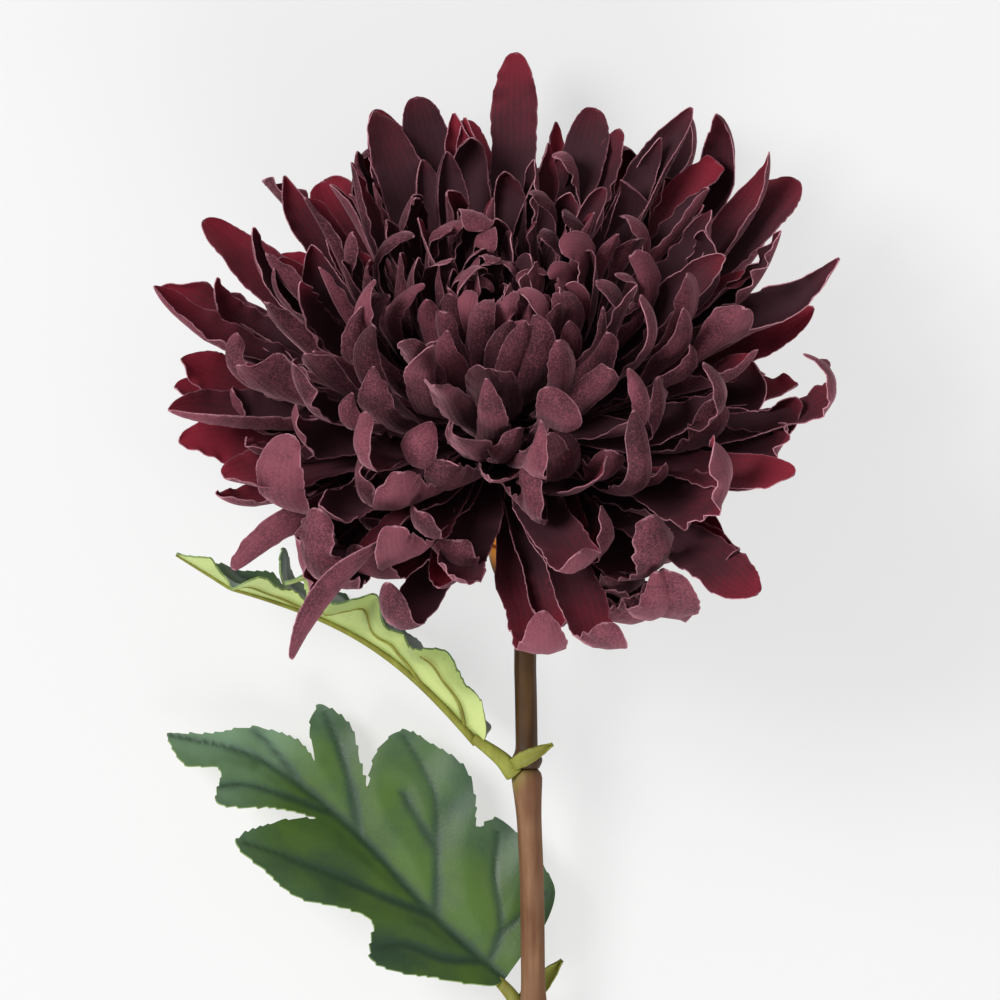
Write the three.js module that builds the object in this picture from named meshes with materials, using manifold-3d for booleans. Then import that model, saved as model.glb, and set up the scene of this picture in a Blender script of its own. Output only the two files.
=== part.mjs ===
// A cut black plum chrysanthemum, lying on its side on a flat surface.
// Millimetres, +Z up. The stem runs along -Y and the flower head looks up and away along +Y.
// Everything is first placed from the centre of the flower head, then the whole is moved so that
// the origin is under the middle of the flower, on the surface that it lies on.
import * as THREE from "three";
import { mergeVertices } from "three/addons/utils/BufferGeometryUtils.js";
import Module from "manifold-3d";

const wasm = await Module();
wasm.setup();

// Driving dimensions
const HEAD_HEIGHT = 50; // centre of the head above the surface
const HEAD_RISE = THREE.MathUtils.degToRad(38); // how far the head's axis rises from the surface
const GAP = 0.3; // clearance between pieces that touch
const PETAL_THICKNESS = 0.7;
const LONG_PETAL_GRID = { columns: 1, rows: 4 };
const DOME_PETAL_GRID = { columns: 2, rows: 3 };
const LEAF_THICKNESS = 1;
const RECEPTACLE_RADIUS = 12.5;
const RECEPTACLE_BASE = -12; // along the head's axis
const RECEPTACLE_HEIGHT = 26;
const RING_PITCH = 1.6; // from one petal whorl to the next, along the head's axis
const RING_WIDTH = 0.7;
const ROUND_SIDES = 20; // of the receptacle and calyx
const RING_SIDES = 16;
const STEM_SIDES = 10;
const CALYX_DEPTH = 28;
const UPPER_STEM_RADIUS = 2.4;
const LOWER_STEM_RADIUS = 2.8;
const PEG_RADIUS = 1.5;
const PEG_LENGTH = 6;

const colours = {
  petal: "#4a1c26",
  heart: "#2c1218",
  calyx: "#b9862f",
  stem: "#6d4630",
  upperStem: "#55412a",
  leaf: "#37562c",
};

function material(colour, roughness) {
  return new THREE.MeshStandardMaterial({ color: colour, roughness, metalness: 0 });
}

const materials = {
  petal: material(colours.petal, 0.85),
  heart: material(colours.heart, 0.9),
  calyx: material(colours.calyx, 0.5),
  stem: material(colours.stem, 0.5),
  upperStem: material(colours.upperStem, 0.5),
  leaf: material(colours.leaf, 0.55),
};

// Solids and meshes
function solidOf(geometry) {
  const bare = geometry.clone();
  bare.deleteAttribute("normal");
  bare.deleteAttribute("uv");
  const merged = mergeVertices(bare, 1e-4);
  return new wasm.Manifold(
    new wasm.Mesh({
      numProp: 3,
      vertProperties: merged.attributes.position.array,
      triVerts: new Uint32Array(merged.index.array),
    }),
  );
}

function geometryOf(solid) {
  const mesh = solid.getMesh();
  const points = new Float32Array(mesh.numVert * 3);
  for (let i = 0; i < mesh.numVert; i++) {
    points.set(mesh.vertProperties.subarray(i * mesh.numProp, i * mesh.numProp + 3), i * 3);
  }
  const geometry = new THREE.BufferGeometry();
  geometry.setAttribute("position", new THREE.BufferAttribute(points, 3));
  geometry.setIndex(new THREE.BufferAttribute(new Uint32Array(mesh.triVerts), 1));
  geometry.computeVertexNormals();
  return geometry;
}

function named(name, geometry, finish) {
  const mesh = new THREE.Mesh(geometry, finish);
  mesh.name = name;
  return mesh;
}

function reshape(geometry, place) {
  const points = geometry.attributes.position;
  const point = new THREE.Vector3();
  for (let i = 0; i < points.count; i++) {
    place(point.fromBufferAttribute(points, i));
    points.setXYZ(i, point.x, point.y, point.z);
  }
  return geometry;
}

// The same small spread for the same petal each time, from -1 to 1
function spread(whorl, petal, salt) {
  const s = Math.sin(whorl * 127.1 + petal * 311.7 + salt * 74.7) * 43758.5453;
  return 2 * (s - Math.floor(s)) - 1;
}

// Receptacle: the dome that carries the petals. Its surface is half an ellipse about the head's axis.
function receptacleRadius(z) {
  const share = (z - RECEPTACLE_BASE) / RECEPTACLE_HEIGHT;
  return RECEPTACLE_RADIUS * Math.sqrt(Math.max(0, 1 - share * share));
}

function receptacle() {
  const profile = [new THREE.Vector2(0, RECEPTACLE_BASE)];
  const steps = 7;
  for (let i = 0; i < steps; i++) {
    const z = RECEPTACLE_BASE + RECEPTACLE_HEIGHT * Math.sin((i / steps) * Math.PI * 0.5);
    profile.push(new THREE.Vector2(receptacleRadius(z), z));
  }
  profile.push(new THREE.Vector2(0, RECEPTACLE_BASE + RECEPTACLE_HEIGHT));
  return new THREE.LatheGeometry(profile, ROUND_SIDES).rotateX(Math.PI / 2);
}

function calyx() {
  const top = RECEPTACLE_BASE - GAP;
  const profile = [
    [0, top - CALYX_DEPTH],
    [UPPER_STEM_RADIUS + 0.8, top - CALYX_DEPTH],
    [UPPER_STEM_RADIUS + 1.2, top - CALYX_DEPTH * 0.8],
    [RECEPTACLE_RADIUS * 0.55, top - CALYX_DEPTH * 0.55],
    [RECEPTACLE_RADIUS * 0.86, top - CALYX_DEPTH * 0.28],
    [RECEPTACLE_RADIUS * 0.98, top],
    [0, top],
  ].map(([r, z]) => new THREE.Vector2(r, z));
  return new THREE.LatheGeometry(profile, ROUND_SIDES).rotateX(Math.PI / 2);
}

// Petal whorls, from the lowest on the receptacle to the eye.
// The long whorls' petals differ, so each is listed as [azimuth, reach]: degrees about the head's axis,
// where 90 is the side that lies on the surface, and mm from the head's centre to the petal's tip.
// A whorl's polar angle is from the head's axis, and opens by droop on the side away from the surface.
const LONG_WHORLS = [
  {
    width: 12,
    bow: -8,
    polar: 98,
    droop: 5,
    petals: [
      [15, 60], [38, 60], [62, 60], [85, 60], [108, 60], [131, 60], [154, 60], [176, 58],
      [198, 58], [219, 70], [236, 82], [256, 56], [278, 58], [300, 56], [323, 60], [346, 60],
    ],
  },
  {
    width: 13,
    bow: -4,
    polar: 90,
    droop: 4,
    petals: [
      [3, 64], [25, 66], [48, 68], [70, 68], [92, 68], [114, 68], [136, 68], [158, 68], [178, 70],
      [195, 71], [209, 69], [229, 66], [250, 75], [264, 66], [281, 77], [295, 68], [312, 79], [336, 66],
    ],
  },
  {
    width: 13,
    bow: 4,
    polar: 81,
    droop: 3,
    petals: [
      [13, 70], [35, 72], [57, 72], [79, 72], [101, 72], [123, 72], [145, 72], [171, 77], [187, 69],
      [204, 75], [224, 70], [244, 66], [266, 60], [286, 73], [304, 64], [328, 74], [352, 68],
    ],
  },
  {
    width: 12.5,
    bow: 10,
    polar: 70,
    droop: 4,
    petals: [
      [4, 79], [24, 82], [42, 76], [60, 71], [78, 72], [96, 70], [113, 78], [129, 70], [143, 73],
      [162, 74], [178, 65], [199, 62], [221, 62], [245, 58], [270, 56], [295, 58], [317, 64], [337, 66],
    ],
  },
  {
    width: 12,
    bow: 18,
    polar: 61,
    droop: 3,
    petals: [
      [12, 70], [32, 77], [50, 79], [69, 73], [88, 82], [104, 72], [121, 64], [140, 65], [162, 63],
      [186, 58], [210, 57], [234, 54], [258, 52], [283, 52], [308, 53], [330, 56], [351, 60],
    ],
  },
];

// Dome whorls are even: how many petals, their polar angle and reach, how far they curl in, their width.
const DOME_WHORLS = [
  { count: 14, polar: 55, reach: 51, bow: 34, width: 11 },
  { count: 13, polar: 48, reach: 46, bow: 40, width: 10.5 },
  { count: 12, polar: 41.5, reach: 42, bow: 44, width: 10 },
  { count: 12, polar: 35, reach: 39, bow: 46, width: 9.5 },
  { count: 11, polar: 28.5, reach: 36.5, bow: 48, width: 9 },
  { count: 10, polar: 22.5, reach: 34.5, bow: 46, width: 8 },
  { count: 8, polar: 16.5, reach: 33, bow: 42, width: 7 },
  { count: 7, polar: 11, reach: 31.5, bow: 36, width: 6 },
  { count: 5, polar: 6, reach: 30.5, bow: 26, width: 4.5 },
];
const AZIMUTH_SPREAD = 4;
const REACH_SPREAD = 0.04;
const GOLDEN_ANGLE = 137.5;

function whorlList() {
  const long = LONG_WHORLS.map(({ width, bow, polar, droop, petals }) => ({
    petals: petals.map(([azimuth, reach]) => ({
      azimuth,
      polar: polar + droop * Math.max(0, -Math.sin(THREE.MathUtils.degToRad(azimuth))),
      reach,
      width,
      bow,
      grid: LONG_PETAL_GRID,
    })),
  }));
  const dome = DOME_WHORLS.map(({ count, polar, reach, bow, width }, d) => ({
    petals: Array.from({ length: count }, (_, i) => ({
      azimuth: (360 / count) * i + GOLDEN_ANGLE * d + AZIMUTH_SPREAD * spread(d, i, 1),
      polar,
      reach: reach * (1 + REACH_SPREAD * spread(d, i, 2)),
      width,
      bow,
      grid: DOME_PETAL_GRID,
    })),
  }));
  return [...long, ...dome];
}

function ringHeight(whorl) {
  return RECEPTACLE_BASE + RING_WIDTH / 2 + RING_PITCH * whorl;
}

// The corner radius of a ring whose flats clear the receptacle
function ringRadius(whorl) {
  const surface = receptacleRadius(ringHeight(whorl) - RING_WIDTH / 2);
  return surface / Math.cos(Math.PI / RING_SIDES) + GAP;
}

function ring(whorl) {
  const low = ringHeight(whorl) - RING_WIDTH / 2;
  const high = ringHeight(whorl) + RING_WIDTH / 2;
  const inner = ringRadius(whorl);
  const profile = [
    [inner, low],
    [inner + RING_WIDTH, low],
    [inner + RING_WIDTH, high],
    [inner, high],
    [inner, low],
  ].map(([r, z]) => new THREE.Vector2(r, z));
  return new THREE.LatheGeometry(profile, RING_SIDES).rotateX(Math.PI / 2);
}

// A petal that would go through the surface that the head lies on is cut short where it meets it.
function reachAboveSurface({ azimuth, polar, reach }) {
  const a = THREE.MathUtils.degToRad(azimuth);
  const p = THREE.MathUtils.degToRad(polar);
  const fall = Math.sin(p) * Math.sin(a) * Math.cos(HEAD_RISE) - Math.cos(p) * Math.sin(HEAD_RISE);
  return fall > 0 ? Math.min(reach, (HEAD_HEIGHT - PETAL_THICKNESS) / fall) : reach;
}

// The petal's width along its length, as a share of width: a narrow claw, a broad blade, a rounded tip
function petalOutline(v) {
  return 0.34 + 0.66 * Math.sin(Math.PI * Math.min(1, v * 1.15) ** 0.9 * 0.5) - 0.6 * v ** 6;
}

// The midline is an arc from the ring to the tip; the blade is wrapped about the head's axis.
function petal(whorl, shape) {
  const polar = THREE.MathUtils.degToRad(shape.polar);
  const azimuth = THREE.MathUtils.degToRad(shape.azimuth);
  const bow = THREE.MathUtils.degToRad(shape.bow);
  const reach = reachAboveSurface(shape);
  const start = new THREE.Vector2(ringRadius(whorl) + RING_WIDTH / 2, ringHeight(whorl));
  const tip = new THREE.Vector2(reach * Math.sin(polar), reach * Math.cos(polar));
  const chord = tip.clone().sub(start);
  const chordAngle = Math.atan2(chord.x, chord.y);
  const arcRadius = chord.length() / (2 * Math.sin(bow / 2));
  const firstAngle = chordAngle + bow / 2;
  const blade = new THREE.BoxGeometry(1, 1, 1, shape.grid.columns, shape.grid.rows, 1);
  return reshape(blade, (point) => {
    const v = point.y + 0.5;
    const angle = firstAngle - bow * v;
    const r = start.x + arcRadius * (Math.cos(angle) - Math.cos(firstAngle));
    const z = start.y + arcRadius * (Math.sin(firstAngle) - Math.sin(angle));
    const out = r + Math.cos(angle) * point.z * PETAL_THICKNESS;
    const up = z - Math.sin(angle) * point.z * PETAL_THICKNESS;
    const turn = azimuth + (point.x * shape.width * petalOutline(v)) / Math.max(r, shape.width * 0.45);
    point.set(out * Math.cos(turn), out * Math.sin(turn), up);
  });
}

function whorlSolid(whorl, petals) {
  let solid = solidOf(ring(whorl));
  for (const shape of petals) {
    solid = solid.add(solidOf(petal(whorl, shape)));
  }
  return solid;
}

function flowerHead() {
  const head = new THREE.Group();
  head.add(named("receptacle", receptacle(), materials.heart));
  head.add(named("calyx", calyx(), materials.calyx));
  whorlList().forEach(({ petals }, whorl) => {
    const name = `petal_whorl_${String(whorl + 1).padStart(2, "0")}`;
    head.add(named(name, geometryOf(whorlSolid(whorl, petals)), materials.petal));
  });
  head.rotation.x = HEAD_RISE - Math.PI / 2;
  return head;
}

// Stems: a round rod along a curve, whose radius may change along it
function vector([x, y, z]) {
  return new THREE.Vector3(x, y, z);
}

function rod(curve, skipped, radiusAt, sides, rows) {
  const straight = new THREE.CylinderGeometry(1, 1, 1, sides, rows);
  const first = skipped / curve.getLength();
  const up = new THREE.Vector3(0, 0, 1);
  return reshape(straight, (point) => {
    const v = Math.min(1, Math.max(0, 0.5 - point.y));
    const share = first + (1 - first) * v;
    const centre = curve.getPointAt(share);
    const along = curve.getTangentAt(share);
    const side = new THREE.Vector3().crossVectors(along, up).normalize();
    const over = new THREE.Vector3().crossVectors(along, side);
    const radius = radiusAt(v);
    const { x, z } = point;
    point.copy(centre).addScaledVector(side, x * radius).addScaledVector(over, z * radius);
  });
}

const CALYX_END = CALYX_DEPTH + 2.5 * GAP - RECEPTACLE_BASE; // below the head's centre, along its axis
const HEAD_END = [0, -CALYX_END * Math.cos(HEAD_RISE), -CALYX_END * Math.sin(HEAD_RISE)];
const UPPER_NODE = [5.8, -82, -31];
const LOWER_NODE = [7.4, -137, -37];
const STEM_END = [15, -327, LOWER_STEM_RADIUS - HEAD_HEIGHT];
const UPPER_ROUTE = [HEAD_END, [0.4, -37, -28.8], [4.9, -48, -30.8], [5.5, -62, -31], UPPER_NODE];
const LOWER_ROUTE = [
  UPPER_NODE, [6.2, -105, -33.4], LOWER_NODE, [9.6, -200, -42.2], [13, -264, -45.4], STEM_END,
];
const KNOB_SWELL = 0.7;
const NODE_SWELL = 0.9;

function bump(v, centre, width) {
  return Math.exp(-(((v - centre) / width) ** 2));
}

function upperRadius(v) {
  return UPPER_STEM_RADIUS + KNOB_SWELL * bump(v, 1, 0.05);
}

function lowerRadius(v) {
  const nodeShare = (LOWER_NODE[1] - UPPER_NODE[1]) / (STEM_END[1] - UPPER_NODE[1]);
  return LOWER_STEM_RADIUS + NODE_SWELL * (bump(v, 0, 0.03) + 0.8 * bump(v, nodeShare, 0.02));
}

function route(points) {
  return new THREE.CatmullRomCurve3(points.map(vector), false, "centripetal");
}

function upperRod(clearance) {
  return solidOf(rod(route(UPPER_ROUTE), 0, (v) => upperRadius(v) + clearance, STEM_SIDES, 14));
}

function lowerRod(clearance) {
  return solidOf(rod(route(LOWER_ROUTE), 2 * GAP, (v) => lowerRadius(v) + clearance, STEM_SIDES, 34));
}

// The room that a leaf leaves for both stems and the joint between them
function stemRoom() {
  const joint = new THREE.SphereGeometry(lowerRadius(0) + 3 * GAP, STEM_SIDES, STEM_SIDES);
  return upperRod(GAP).add(lowerRod(GAP)).add(solidOf(joint.translate(...UPPER_NODE)));
}

// The peg on the foot of the upper stem, which sits in a socket in the lower one
function peg(clearance) {
  const direction = route(LOWER_ROUTE).getTangentAt(0);
  const length = PEG_LENGTH + clearance;
  const pin = new THREE.CylinderGeometry(PEG_RADIUS + clearance, PEG_RADIUS + clearance, length, 12);
  const turn = new THREE.Quaternion().setFromUnitVectors(new THREE.Vector3(0, 1, 0), direction);
  const centre = vector(UPPER_NODE).addScaledVector(direction, length / 2 - 1);
  return solidOf(pin.applyQuaternion(turn).translate(centre.x, centre.y, centre.z));
}

function stems() {
  const upper = upperRod(0).add(peg(0));
  const lower = lowerRod(0).subtract(peg(GAP));
  return [
    named("stem_upper", geometryOf(upper), materials.upperStem),
    named("stem_lower", geometryOf(lower), materials.stem),
  ];
}

// Leaves: one outline in mm, from the foot of the blade to its tip. The first number runs along the
// blade and the second across it, to the left as the upper side is seen with the tip up.
const MIDRIB = [[0, 0], [20, -2], [43, -6.5], [60, -8], [74, -7], [91, 0]];
const LEFT_EDGE = [
  [1, 3], [6, 7], [13, 11], [19, 15], [25.5, 17], [28, 13.5], [30, 9.5], [34, 9.5], [41, 13.5],
  [46, 15.5], [56, 15.5], [64.5, 13.5], [58, 1], [53, -4], [63, 1], [68, 5.5], [73, 8.5], [77, 0.5],
  [84, 4.5],
];
const RIGHT_EDGE = [
  [0, -7], [0, -15.5], [2.5, -22], [7, -24.5], [15, -27], [22, -27], [24, -23], [28.5, -28],
  [34, -32], [43.5, -32], [50, -30.5], [51.5, -23], [48.5, -16], [54.5, -20.5], [60, -25], [67.5, -24.5],
  [66.5, -19.5], [61, -14], [66.5, -15.5], [76, -12.5], [83.5, -5.5],
];
const BLADE_LENGTH = 91;
const MIDRIB_LAP = 0.6; // both halves share a narrow strip along the midrib
const ARCH_END = 0.82; // the blade arches over this share of its length
const EAR_WIDTH = 3.8;
const STALK_RADIUS = 1.6;

function midribAt(x) {
  const after = Math.max(1, MIDRIB.findIndex(([end]) => x <= end));
  const [[x0, y0], [x1, y1]] = MIDRIB.slice(after - 1, after + 1);
  return y0 + ((y1 - y0) * (x - x0)) / (x1 - x0);
}

// One half of the blade, turned up about the midrib by fold. Side is 1 on the left and -1 on the right.
function halfBlade(edge, side, fold, arch) {
  const back = MIDRIB.slice(1, -1).reverse().map(([x, y]) => [x, y - side * MIDRIB_LAP]);
  const outline = [MIDRIB[0], ...edge, MIDRIB.at(-1), ...back, [1, -side * MIDRIB_LAP]];
  const shape = new THREE.Shape(outline.map(([x, y]) => new THREE.Vector2(x, y)));
  const plate = new THREE.ExtrudeGeometry(shape, { depth: LEAF_THICKNESS, bevelEnabled: false });
  return reshape(plate, (point) => {
    const rib = midribAt(point.x);
    const away = side * (point.y - rib);
    const turn = away > 0 ? fold : 0;
    const lift = point.z - LEAF_THICKNESS / 2;
    const share = Math.min(1, Math.max(0, point.x / BLADE_LENGTH / ARCH_END));
    point.y = rib + side * (away * Math.cos(turn) - lift * Math.sin(turn));
    point.z = Math.max(0, away) * Math.sin(turn) + lift * Math.cos(turn) + arch * Math.sin(Math.PI * share);
  });
}

function petiole(from, to, radius) {
  const reach = vector(to).sub(vector(from));
  const stalk = new THREE.CylinderGeometry(radius * 0.75, radius, reach.length(), 8);
  const turn = new THREE.Quaternion().setFromUnitVectors(
    new THREE.Vector3(0, 1, 0),
    reach.clone().normalize(),
  );
  const centre = vector(from).addScaledVector(reach, 0.5);
  return stalk.applyQuaternion(turn).translate(centre.x, centre.y, centre.z);
}

// A small leaf lobe at the foot of the stalk
function ear({ base, tip, face }) {
  const length = vector(tip).distanceTo(vector(base));
  const outline = [
    [-0.5, -EAR_WIDTH * 0.3],
    [length * 0.45, -EAR_WIDTH * 0.5],
    [length, 0],
    [length * 0.5, EAR_WIDTH * 0.5],
    [-0.5, EAR_WIDTH * 0.3],
  ].map(([x, y]) => new THREE.Vector2(x, y));
  const plate = new THREE.ExtrudeGeometry(new THREE.Shape(outline), {
    depth: LEAF_THICKNESS,
    bevelEnabled: false,
  });
  return plate.translate(0, 0, -LEAF_THICKNESS / 2).applyMatrix4(bladeFrame(base, tip, face));
}

// The blade's own axes: along its midrib, across it, and the way its upper side looks
function bladeFrame(foot, tip, face) {
  const along = vector(tip).sub(vector(foot)).normalize();
  const across = new THREE.Vector3().crossVectors(vector(face), along).normalize();
  const normal = new THREE.Vector3().crossVectors(along, across);
  return new THREE.Matrix4().makeBasis(along, across, normal).setPosition(...foot);
}

function leaf({ name, foot, tip, face, rightFold, leftFold, arch, scale, stalkFrom, ears }) {
  const frame = bladeFrame(foot, tip, face).multiply(new THREE.Matrix4().makeScale(scale, scale, 1));
  const inBlade = new THREE.Vector3(3, 0, 0).applyMatrix4(frame);
  let solid = solidOf(halfBlade(LEFT_EDGE, 1, leftFold, arch).applyMatrix4(frame))
    .add(solidOf(halfBlade(RIGHT_EDGE, -1, rightFold, arch).applyMatrix4(frame)))
    .add(solidOf(petiole(stalkFrom, inBlade.toArray(), STALK_RADIUS)));
  for (const shape of ears) {
    solid = solid.add(solidOf(ear(shape)));
  }
  return named(name, geometryOf(solid.subtract(stemRoom())), materials.leaf);
}

function rad(degrees) {
  return THREE.MathUtils.degToRad(degrees);
}

function leaves() {
  return [
    leaf({
      name: "leaf_upper",
      foot: [-3.6, -76.5, -27],
      tip: [-67.5, -36.5, -22],
      face: [0.5, 0.8, 0],
      rightFold: rad(30),
      leftFold: rad(28),
      arch: 6,
      scale: 0.86,
      stalkFrom: [3, -83, -29.8],
      ears: [{ base: [1.6, -81.6, -28.6], tip: [11.5, -76.6, -26.4], face: [0, 0, 1] }],
    }),
    leaf({
      name: "leaf_lower",
      foot: [1.1, -128, -40.5],
      tip: [-72.5, -74.8, -43],
      face: [0, 0.12, 1],
      rightFold: rad(3),
      leftFold: rad(30),
      arch: 0,
      scale: 1,
      stalkFrom: [4.6, -136, -39],
      ears: [{ base: [3.6, -134.6, -40.6], tip: [13.5, -124, -43], face: [0, 0, 1] }],
    }),
  ];
}

const plant = new THREE.Group();
plant.add(flowerHead(), ...stems(), ...leaves());
plant.updateMatrixWorld(true);
const extent = new THREE.Box3().setFromObject(plant, true);
const middle = extent.getCenter(new THREE.Vector3());
plant.position.set(-middle.x, -middle.y, -extent.min.z);

const flower = new THREE.Group();
flower.add(plant);

export default flower;
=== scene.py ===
# %% [markdown]
# # A black plum chrysanthemum
# A single large flower of dyed cloth on a jointed plastic stem, with two lobed leaves. It lies on a pale
# surface, and the camera looks straight down on it. The CAD model is the fixed frame: it says where each
# ring of petals, each leaf and each length of stem is. Blender makes the cloth, the veins and the light.

# %% Load the frame
import random
from collections import namedtuple
from math import atan2, copysign, cos, exp, pi, radians, sin, sqrt
from types import SimpleNamespace

import bmesh
import bpy
from mathutils import Matrix, Vector, noise


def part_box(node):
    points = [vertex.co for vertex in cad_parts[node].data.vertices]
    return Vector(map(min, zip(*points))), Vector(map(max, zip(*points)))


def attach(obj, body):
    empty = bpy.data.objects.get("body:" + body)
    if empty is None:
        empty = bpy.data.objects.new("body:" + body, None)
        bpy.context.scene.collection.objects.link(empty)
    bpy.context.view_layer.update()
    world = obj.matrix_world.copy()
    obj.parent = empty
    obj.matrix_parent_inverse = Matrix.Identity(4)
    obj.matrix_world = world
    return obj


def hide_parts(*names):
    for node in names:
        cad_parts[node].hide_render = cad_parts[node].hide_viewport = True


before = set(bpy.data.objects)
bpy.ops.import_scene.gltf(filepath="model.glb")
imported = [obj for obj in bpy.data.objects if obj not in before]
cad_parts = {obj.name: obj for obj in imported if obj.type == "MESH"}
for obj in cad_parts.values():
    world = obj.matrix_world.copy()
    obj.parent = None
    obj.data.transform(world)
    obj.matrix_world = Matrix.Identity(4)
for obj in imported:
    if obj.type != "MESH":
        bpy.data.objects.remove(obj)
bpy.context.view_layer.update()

# %% [markdown]
# ## Where the head is
# The head's axis rises 38 degrees from the surface. The receptacle is half an ellipsoid whose flat base
# is square to that axis, so its lowest corner and its nearest corner give the head's centre exactly.
# From there a point of the head is written in three numbers: how far out from the axis, which way round,
# and how far along the axis.

# %% The head's centre and axes
MM = 0.001
RISE = radians(38)
BASE_DEPTH = 12 * MM
BASE_RADIUS = 12.5 * MM

low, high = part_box("receptacle")
HEAD = Vector((
    (low.x + high.x) / 2,
    low.y + BASE_DEPTH * cos(RISE) + BASE_RADIUS * sin(RISE),
    low.z + BASE_DEPTH * sin(RISE) + BASE_RADIUS * cos(RISE),
))
TO_ROW = Matrix.Translation(HEAD) @ Matrix.Rotation(RISE - pi / 2, 4, "X")
print("head centre in mm:", [round(v / MM, 1) for v in HEAD])


def round_axis(out, turn, along):
    """A point of the head as a vector in the head's own axes."""
    return Vector((out * cos(turn), out * sin(turn), along))


# %% [markdown]
# ## Camera and stage
# The photograph was taken from the front of an upright flower. The flower lies on its back here, so the
# same view is from straight above, 3 m over the head's centre. From that far, through a long lens, the
# petals that reach for the camera don't grow larger than the others.

# %% Camera
CAMERA_DISTANCE = 3.0
FRAME_WIDTH = 0.215  # what the picture's width shows at the head's centre
PICTURE_CENTRE_BELOW_HEAD = 23.65 * MM

camera = bpy.data.objects.new("camera", bpy.data.cameras.new("camera"))
bpy.context.scene.collection.objects.link(camera)
camera.location = HEAD + Vector((0, -PICTURE_CENTRE_BELOW_HEAD, CAMERA_DISTANCE))
camera.data.lens = camera.data.sensor_width * CAMERA_DISTANCE / FRAME_WIDTH
bpy.context.scene.camera = camera
bpy.context.scene.view_settings.view_transform = "Standard"

# %% [markdown]
# The floor is a pale lit table: it glows a little, so that the shadows on it stay pale. One broad soft
# lamp stands at the upper left, a weaker one fills from the front, which is below in the picture, and a
# light grey world keeps the shadows between the petals open.

# %% Floor, lamps and world
def srgb(text, alpha=1.0):
    """A colour written as a web colour, as the linear values that the nodes take."""
    values = [int(text[i : i + 2], 16) / 255 for i in (1, 3, 5)]
    linear = [v / 12.92 if v <= 0.04045 else ((v + 0.055) / 1.055) ** 2.4 for v in values]
    return (*linear, alpha)


def set_inputs(node, values):
    for name, value in values.items():
        node.inputs[name].default_value = value


def new_material(name, colour, roughness):
    made = bpy.data.materials.new(name)
    made.use_nodes = True
    shader = made.node_tree.nodes["Principled BSDF"]
    set_inputs(shader, {"Base Color": srgb(colour), "Roughness": roughness})
    made.diffuse_color = srgb(colour)
    return made, made.node_tree, shader


def new_object(name, bm, materials):
    mesh = bpy.data.meshes.new(name)
    bm.to_mesh(mesh)
    bm.free()
    for made in materials:
        mesh.materials.append(made)
    obj = bpy.data.objects.new(name, mesh)
    bpy.context.scene.collection.objects.link(obj)
    return obj


FLOOR_SIZE = 3.0
FLOOR_GLOW = 0.61
floor_paint, _, floor_shader = new_material("floor_paint", "#808080", 0.9)
set_inputs(floor_shader, {"Emission Color": srgb("#ffffff"), "Emission Strength": FLOOR_GLOW})
bm = bmesh.new()
bmesh.ops.create_grid(bm, x_segments=1, y_segments=1, size=FLOOR_SIZE / 2)
floor = new_object("floor", bm, [floor_paint])


def lamp(name, place, size, watts):
    """A round lamp at a place given from the head's centre, turned towards it."""
    data = bpy.data.lights.new(name, "AREA")
    data.shape = "DISK"
    data.size = size
    data.energy = watts
    obj = bpy.data.objects.new(name, data)
    bpy.context.scene.collection.objects.link(obj)
    obj.location = HEAD + Vector(place)
    obj.rotation_euler = (-Vector(place)).to_track_quat("-Z", "Y").to_euler()


lamp("key", place=(-0.9, 0.35, 1.1), size=0.7, watts=20.0)
lamp("fill", place=(0.3, -1.2, 0.7), size=1.0, watts=15.0)

WORLD_LIGHT = 0.42
world = bpy.data.worlds.new("studio")
world.use_nodes = True
background = world.node_tree.nodes["Background"]
set_inputs(background, {"Color": (1, 1, 1, 1), "Strength": WORLD_LIGHT})
bpy.context.scene.world = world

# %% [markdown]
# ## Dyed cloth
# The petals are cut from a thin satin that is dyed dark. Its inner face is a deep wine red, its back is
# covered with a fine pink nap that looks dusty where light grazes it, and the cut edges are frayed and
# pale. All three use one node group for what they share: blotches left by the dye, pressed ribs along
# the petal with painted shade in their hollows, painted shade at the foot of each petal that turns to
# painted light towards its tip, and wear along the cut edge. The petal's UV map runs across and along
# it, so the ribs, the painted light and the edge follow its shape.

# %% Short ways to write nodes
LOW_GLOSS = 0.2  # specular level of cloth and of matt plastic


def add_node(tree, kind, values=(), **settings):
    node = tree.nodes.new(kind)
    for name, value in settings.items():
        setattr(node, name, value)
    set_inputs(node, dict(values))
    return node


def feed(tree, value, goal):
    """Give an input a fixed value, or link it to an output."""
    if isinstance(value, (int, float, tuple)):
        goal.default_value = value
    else:
        tree.links.new(value, goal)


def maths(tree, operation, first, *second):
    node = add_node(tree, "ShaderNodeMath", operation=operation)
    for value, goal in zip((first, *second), node.inputs):
        feed(tree, value, goal)
    return node.outputs[0]


def added(tree, first, second):
    return maths(tree, "ADD", first, second)


def times(tree, first, second):
    return maths(tree, "MULTIPLY", first, second)


def mixed(tree, factor, first, second):
    """A mix of two colours."""
    node = add_node(tree, "ShaderNodeMix", data_type="RGBA")
    for i, value in ((0, factor), (6, first), (7, second)):
        feed(tree, value, node.inputs[i])
    return node.outputs[2]


def ramp(tree, value, start, end):
    """0 up to the start and 1 from the end, with a smooth rise between."""
    ends = {"From Min": start, "From Max": end}
    node = add_node(tree, "ShaderNodeMapRange", ends, interpolation_type="SMOOTHSTEP")
    tree.links.new(value, node.inputs["Value"])
    return node.outputs["Result"]


def attribute(tree, name):
    return add_node(tree, "ShaderNodeAttribute", attribute_name=name).outputs["Fac"]


def object_texture(tree, kind, values, result="Fac", **settings):
    """A texture that lies still on the object."""
    node = add_node(tree, kind, values, **settings)
    place = add_node(tree, "ShaderNodeTexCoord").outputs["Object"]
    tree.links.new(place, node.inputs["Vector"])
    return node.outputs[result]


def cloud(tree, scale, detail, roughness=0.5):
    values = {"Scale": scale, "Detail": detail, "Roughness": roughness}
    return object_texture(tree, "ShaderNodeTexNoise", values)


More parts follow.
